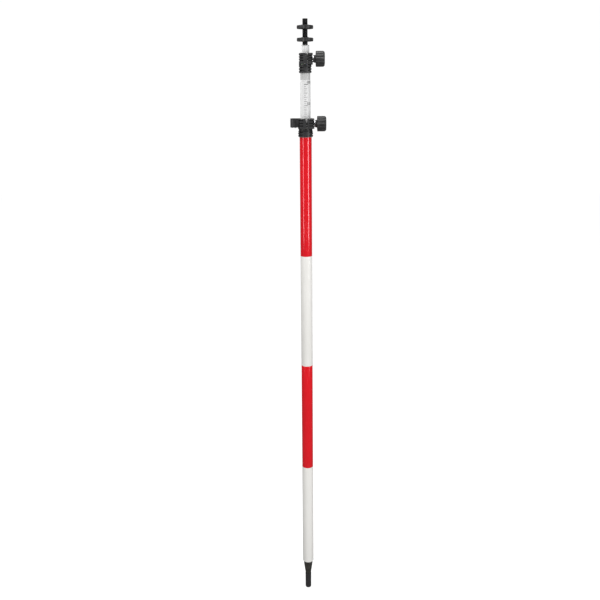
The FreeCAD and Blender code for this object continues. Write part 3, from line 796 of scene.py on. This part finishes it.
def build_level_trim():
    """The retaining ring, the printed ring mark under the glass and the bubble in the spirit."""
    low = low_z("vial_retainer")
    top = high_z("vial_retainer")
    ring = [(6.9, low, 0.0), (7.9, low, 0.0), (7.9, top, 0.3), (6.9, top, 0.45)]
    add_piece("vial_retaining_ring", on_level(ring, 64), CLAMP_BLACK, "outer",
              ["vial_retainer"])
    roof = high_z("vial_fluid")
    mark = [(2.9, roof - 0.06, 0.0), (3.2, roof - 0.06, 0.0),
            (3.2, roof + 0.03, 0.0), (2.9, roof + 0.03, 0.0)]
    add_piece("vial_ring_mark", on_level(mark, 64), PRINT_BLACK, "outer")
    bubble = [(0.0, roof - 1.0, 0.0), (1.5, roof - 0.9, 0.8), (2.3, roof - 0.35, 0.3),
              (2.1, roof - 0.04, 0.1), (0.0, roof - 0.04, 0.0)]
    add_piece("vial_bubble", on_level(bubble, 48), BUBBLE, "outer", (), 80.0)


# ---------------------------------------------------------------- CAD nodes kept as they are

def finish_cad_nodes():
    """Gives every CAD node the material of its slot, and the clamps' nuts and set screws a darker steel."""
    for part in frame["record"]["subparts"]:
        material = SLOT_MATERIALS[part["material_slot"]]
        if part["node"].endswith(("clamp_nut", "grub_screws")):
            material = DARK_STEEL
        for place in NODES[part["node"]].material_slots:
            place.material = material


# ---------------------------------------------------------------- stage

CAMERA_LENS = 47.014
CAMERA_PLACE = (-0.0175, -1.9821, 1.4287)
CAMERA_PITCH = 15.714
CAMERA_ROLL = -0.493
BACKDROP_SEEN = 1.02        # how bright the white surroundings are in the picture
BACKDROP_LIGHT = 0.24       # what they give to diffuse surfaces
BACKDROP_GLOSS = 0.10       # what shiny surfaces reflect of them
FLOOR_SEEN = 0.94
FLOOR_LIGHT = 0.40
FLOOR_HALF = 8.0


def add_camera():
    data = bpy.data.cameras.new("camera")
    data.lens = CAMERA_LENS
    data.sensor_width = 36.0
    camera = bpy.data.objects.new("camera", data)
    bpy.context.scene.collection.objects.link(camera)
    tilt = Matrix.Rotation(math.radians(90 - CAMERA_PITCH), 4, "X")
    roll = Matrix.Rotation(math.radians(CAMERA_ROLL), 4, "Z")
    camera.matrix_world = Matrix.Translation(CAMERA_PLACE) @ tilt @ roll
    bpy.context.scene.camera = camera


def add_softbox(name, place, target, width, height, radiance, mirrored=True):
    """A rectangular light turned to a target; only a mirrored one shows in glossy surfaces."""
    data = bpy.data.lights.new(name, "AREA")
    data.shape = "RECTANGLE"
    data.size = width
    data.size_y = height
    data.energy = radiance * math.pi * width * height
    light = bpy.data.objects.new(name, data)
    light.visible_glossy = mirrored
    bpy.context.scene.collection.objects.link(light)
    direction = Vector(target) - Vector(place)
    turn = direction.to_track_quat("-Z", "Y")
    light.matrix_world = Matrix.Translation(place) @ turn.to_matrix().to_4x4()


def ray_strength(tree, seen, mirrored, lit):
    """One strength for what the picture shows directly, one for reflections, one for the light cast."""
    path = tree.nodes.new("ShaderNodeLightPath")
    strength = None
    for ray, value in (("Is Glossy Ray", mirrored), ("Is Camera Ray", seen)):
        blend = tree.nodes.new("ShaderNodeMath")
        blend.operation = "MULTIPLY_ADD"
        tree.links.new(path.outputs[ray], blend.inputs[0])
        blend.inputs[1].default_value = value - lit
        blend.inputs[2].default_value = lit
        if strength:
            tree.links.new(strength, blend.inputs[2])
        strength = blend.outputs["Value"]
    return strength


def add_world():
    world = bpy.data.worlds.new("studio")
    world.use_nodes = True
    tree = world.node_tree
    background = tree.nodes["Background"]
    background.inputs["Color"].default_value = (1.0, 1.0, 1.0, 1.0)
    strength = ray_strength(tree, BACKDROP_SEEN, BACKDROP_GLOSS, BACKDROP_LIGHT)
    tree.links.new(strength, background.inputs["Strength"])
    bpy.context.scene.world = world


def add_floor():
    mesh = bpy.data.meshes.new("floor")
    corners = [(x * FLOOR_HALF, y * FLOOR_HALF, 0.0) for x, y in ((-1, -1), (1, -1), (1, 1), (-1, 1))]
    mesh.from_pydata(corners, [], [(0, 1, 2, 3)])
    floor = bpy.data.objects.new("floor", mesh)
    bpy.context.scene.collection.objects.link(floor)
    floor.visible_glossy = False
    surface = Surface("floor_white", (0.2, 0.2, 0.2), 0.9)
    surface.vary_roughness(surface.noise(4.0), 0.85, 0.95)
    surface.set(Specular_IOR_Level=0.0, Emission_Color=(1.0, 1.0, 1.0, 1.0))
    strength = ray_strength(surface.tree, FLOOR_SEEN, BACKDROP_GLOSS, FLOOR_LIGHT)
    surface.link(strength, surface.shader.inputs["Emission Strength"])
    floor.data.materials.append(surface.material)


def build_stage():
    """Two tall strips give the paint its long highlights; softer lights fill in from above and in front."""
    add_camera()
    add_world()
    add_softbox("strip_left", (-1.53, -1.29, 1.38), (0.0, 0.0, 1.38), 0.36, 2.05, 3.7)
    add_softbox("strip_right", (1.53, -1.29, 1.38), (0.0, 0.0, 1.38), 0.36, 2.05, 7.8)
    add_softbox("overhead", (0.0, -1.2, 2.9), (0.0, 0.0, 1.2), 1.6, 1.2, 2.2)
    add_softbox("top", (0.1, -0.05, 7.0), (0.1, 0.0, 0.0), 2.7, 2.7, 11.0)
    add_softbox("front", (0.3, -2.4, 0.33), (0.0, 0.0, 0.33), 2.0, 0.5, 4.2, False)
    add_softbox("rim", (-0.6, 0.2, 1.9), (0.0, 0.0, 1.42), 0.35, 0.35, 15.0, False)
    add_floor()
    bpy.context.scene.view_settings.view_transform = "Standard"


def build_pole():
    finish_cad_nodes()
    build_tip_cap()
    build_steel_point()
    build_ferrule()
    build_ferrule_rivets()
    build_outer_tube()
    build_scale_sleeve()
    # Each scale is given its first and last height and its top figure
    printed_scale("mid_scale", "mid", SLEEVE_R, 1417.0, 327.0, 150)
    printed_scale("inner_scale", "inner", INNER_R, 1480.0, 210.0, 260)
    for which in ("lower", "upper"):
        build_knob(which)
        build_bolt(which)
        build_knob_washer(which)
        build_thumb_nut(which)
        build_thumb_nut_washer(which)
    build_stud()
    build_level_trim()


build_pole()
build_stage()
